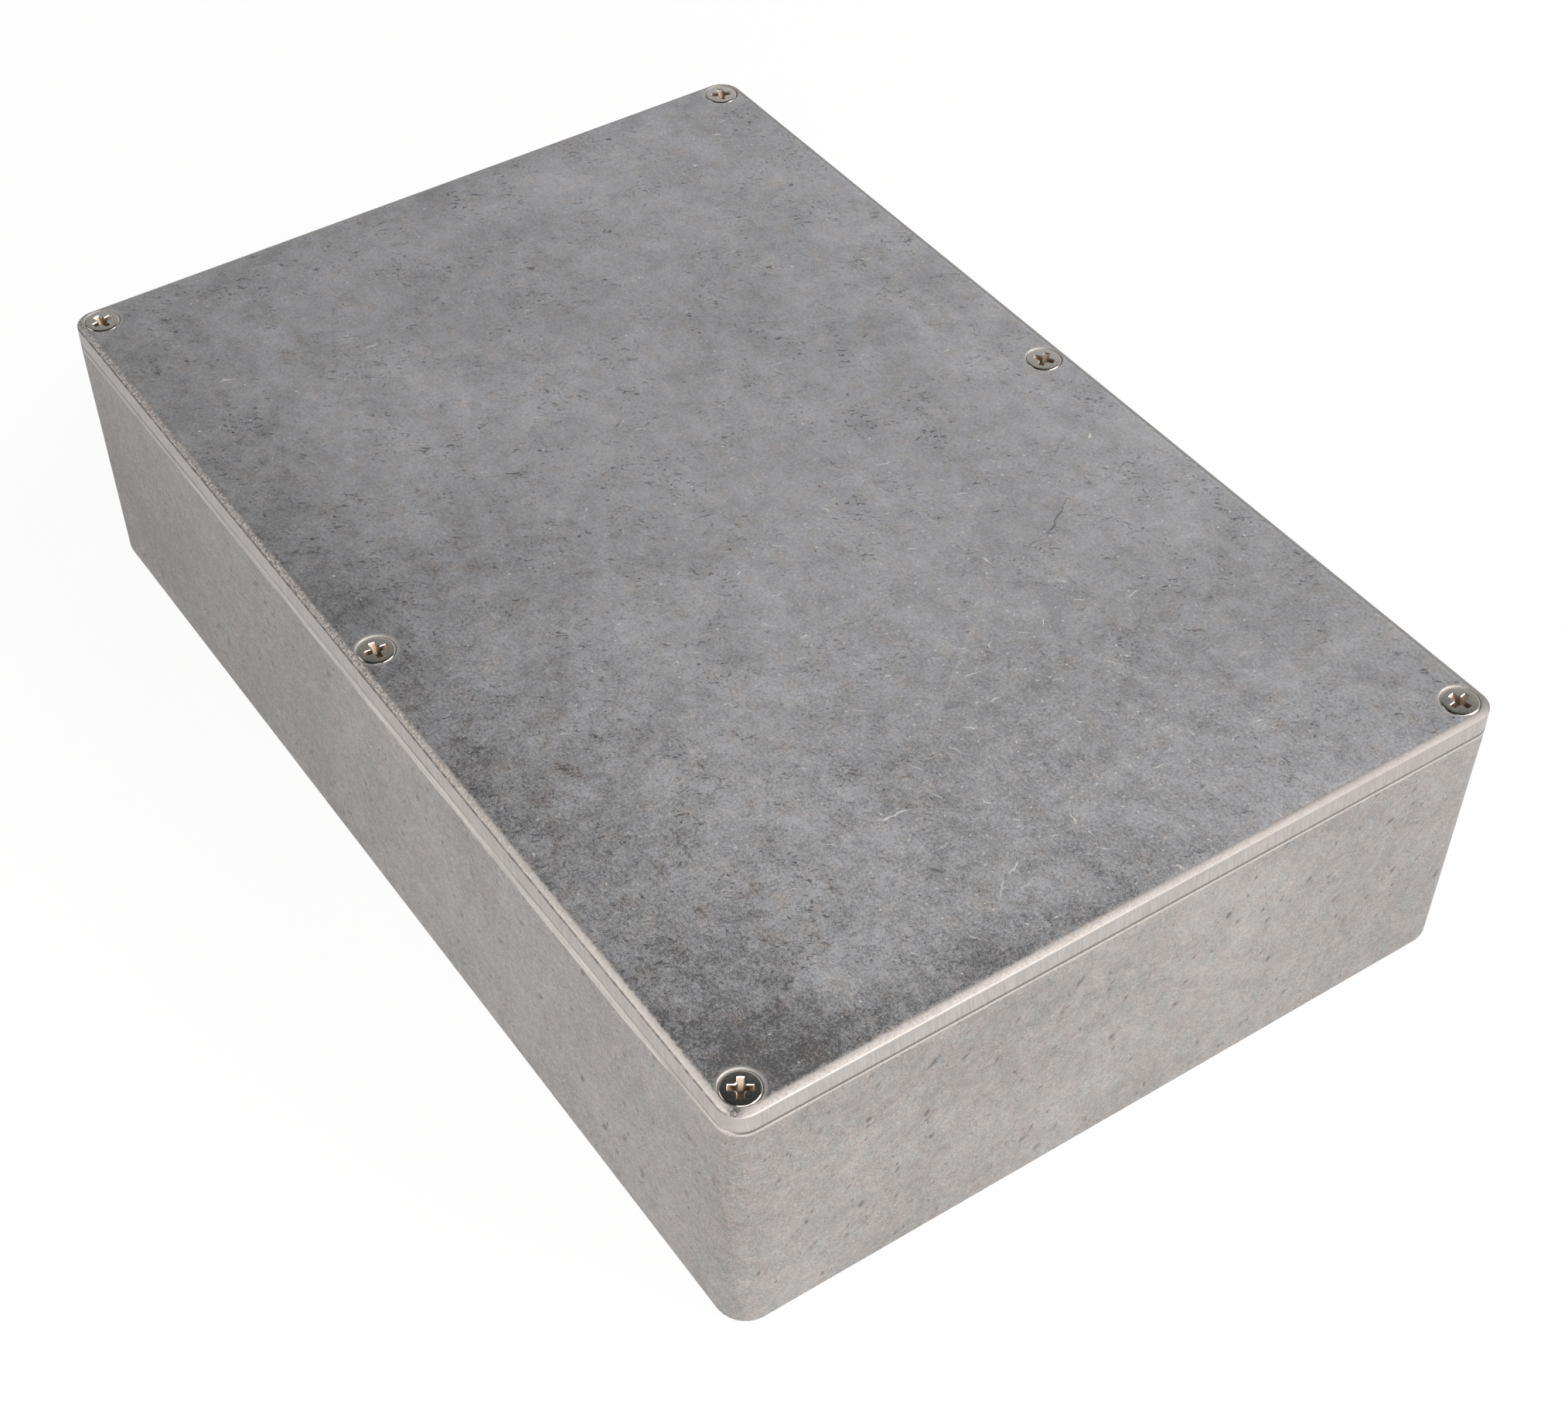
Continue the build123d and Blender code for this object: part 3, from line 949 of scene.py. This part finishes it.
def casting(node, name, material):
    """A casting with its tighter corners, in place of its node."""
    piece = bpy.data.objects.new(name, tight_corners(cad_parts[node].data))
    piece.data.materials.clear()
    piece.data.materials.append(material)
    bpy.context.scene.collection.objects.link(piece)
    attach(piece, "root")
    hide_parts(node)


def floor_material():
    """White to the eye and in reflections, with a faint shadow."""
    material, g = new_material("floor_white")
    path = g.node("ShaderNodeLightPath")
    seen = g.most(*(path.outputs[f"Is {kind} Ray"] for kind in ("Camera", "Glossy", "Transmission")))
    matt = g.node("ShaderNodeBsdfDiffuse")
    matt.inputs["Color"].default_value = FLOOR_COLOUR
    glow = g.node("ShaderNodeEmission")
    glow.inputs["Strength"].default_value = FLOOR_GLOW
    blend = g.node("ShaderNodeMixShader")
    g.feed(blend.inputs[0], g.times(seen, FLOOR_GLOW_SHARE))
    g.feed(blend.inputs[1], matt.outputs[0])
    g.feed(blend.inputs[2], glow.outputs[0])
    g.output("ShaderNodeOutputMaterial", blend)
    return material


def make_floor():
    """A pale floor just under the box."""
    corners = [(i * FLOOR_HALF, j * FLOOR_HALF, 0) for i, j in ((-1, -1), (1, -1), (1, 1), (-1, 1))]
    mesh = bpy.data.meshes.new("floor")
    mesh.from_pydata(corners, [], [(0, 1, 2, 3)])
    mesh.materials.append(floor_material())
    floor = bpy.data.objects.new("floor", mesh)
    floor.location.z = -FLOOR_DROP
    bpy.context.scene.collection.objects.link(floor)


def make_world():
    """White to the eye, bright near the horizon and dark overhead, as in a room with a white sweep."""
    world = bpy.data.worlds.new("studio")
    bpy.context.scene.world = world
    world.use_nodes = True
    g = Graph(world.node_tree)
    x, y, up = g.split(g.node("ShaderNodeTexCoord").outputs["Generated"])
    ramp = g.node("ShaderNodeValToRGB")
    g.feed(ramp.inputs[0], up)
    stops = ramp.color_ramp.elements
    while len(stops) < len(WORLD_STOPS):
        stops.new(0.5)
    for stop, (position, level) in zip(stops, WORLD_STOPS):
        stop.position = position
        stop.color = (level, level, level, 1.0)
    left_x, left_y = WORLD_LEFT
    leftward = g.calc("MULTIPLY_ADD", x, left_x, g.times(y, left_y))
    dim = g.step(leftward, -0.2, 0.8, 1.0, WORLD_DIM)
    level = g.mix(1.0, ramp.outputs[0], dim, "MULTIPLY")
    path = g.node("ShaderNodeLightPath")
    colour = g.mix(path.outputs["Is Camera Ray"], level, (1.0, 1.0, 1.0))
    background = g.node("ShaderNodeBackground")
    g.feed(background.inputs["Color"], colour)
    g.output("ShaderNodeOutputWorld", background)


def make_lamp(name, place, target, side, power, colour):
    """A square softbox that the camera doesn't see."""
    lamp = bpy.data.lights.new(name, "AREA")
    lamp.shape = "RECTANGLE"
    lamp.size = side
    lamp.size_y = side
    lamp.energy = power
    lamp.color = colour
    holder = bpy.data.objects.new(name, lamp)
    holder.location = place
    holder.rotation_euler = (Vector(target) - Vector(place)).to_track_quat("-Z", "Y").to_euler()
    holder.visible_camera = False
    bpy.context.scene.collection.objects.link(holder)


def make_camera():
    """The camera at the photograph's viewing angle."""
    data = bpy.data.cameras.new("camera")
    data.sensor_width = CAMERA_SENSOR
    data.sensor_fit = "HORIZONTAL"
    data.lens = CAMERA_LENS
    data.shift_x, data.shift_y = CAMERA_SHIFT
    data.clip_start, data.clip_end = CAMERA_CLIP
    camera = bpy.data.objects.new("camera", data)
    right, up, back = Vector(CAMERA_RIGHT), -Vector(CAMERA_DOWN), -Vector(CAMERA_FORWARD)
    turn = Matrix((right, up, back)).transposed().to_4x4()
    camera.matrix_world = Matrix.Translation(CAMERA_PLACE) @ turn
    bpy.context.scene.collection.objects.link(camera)
    bpy.context.scene.camera = camera


casting("lid", "lid_casting", lid_material())
casting("base", "base_casting", base_material())
place_screws()
make_floor()
make_world()
for lamp_values in LAMPS:
    make_lamp(*lamp_values)
make_camera()

bpy.context.scene.view_settings.view_transform = "Standard"
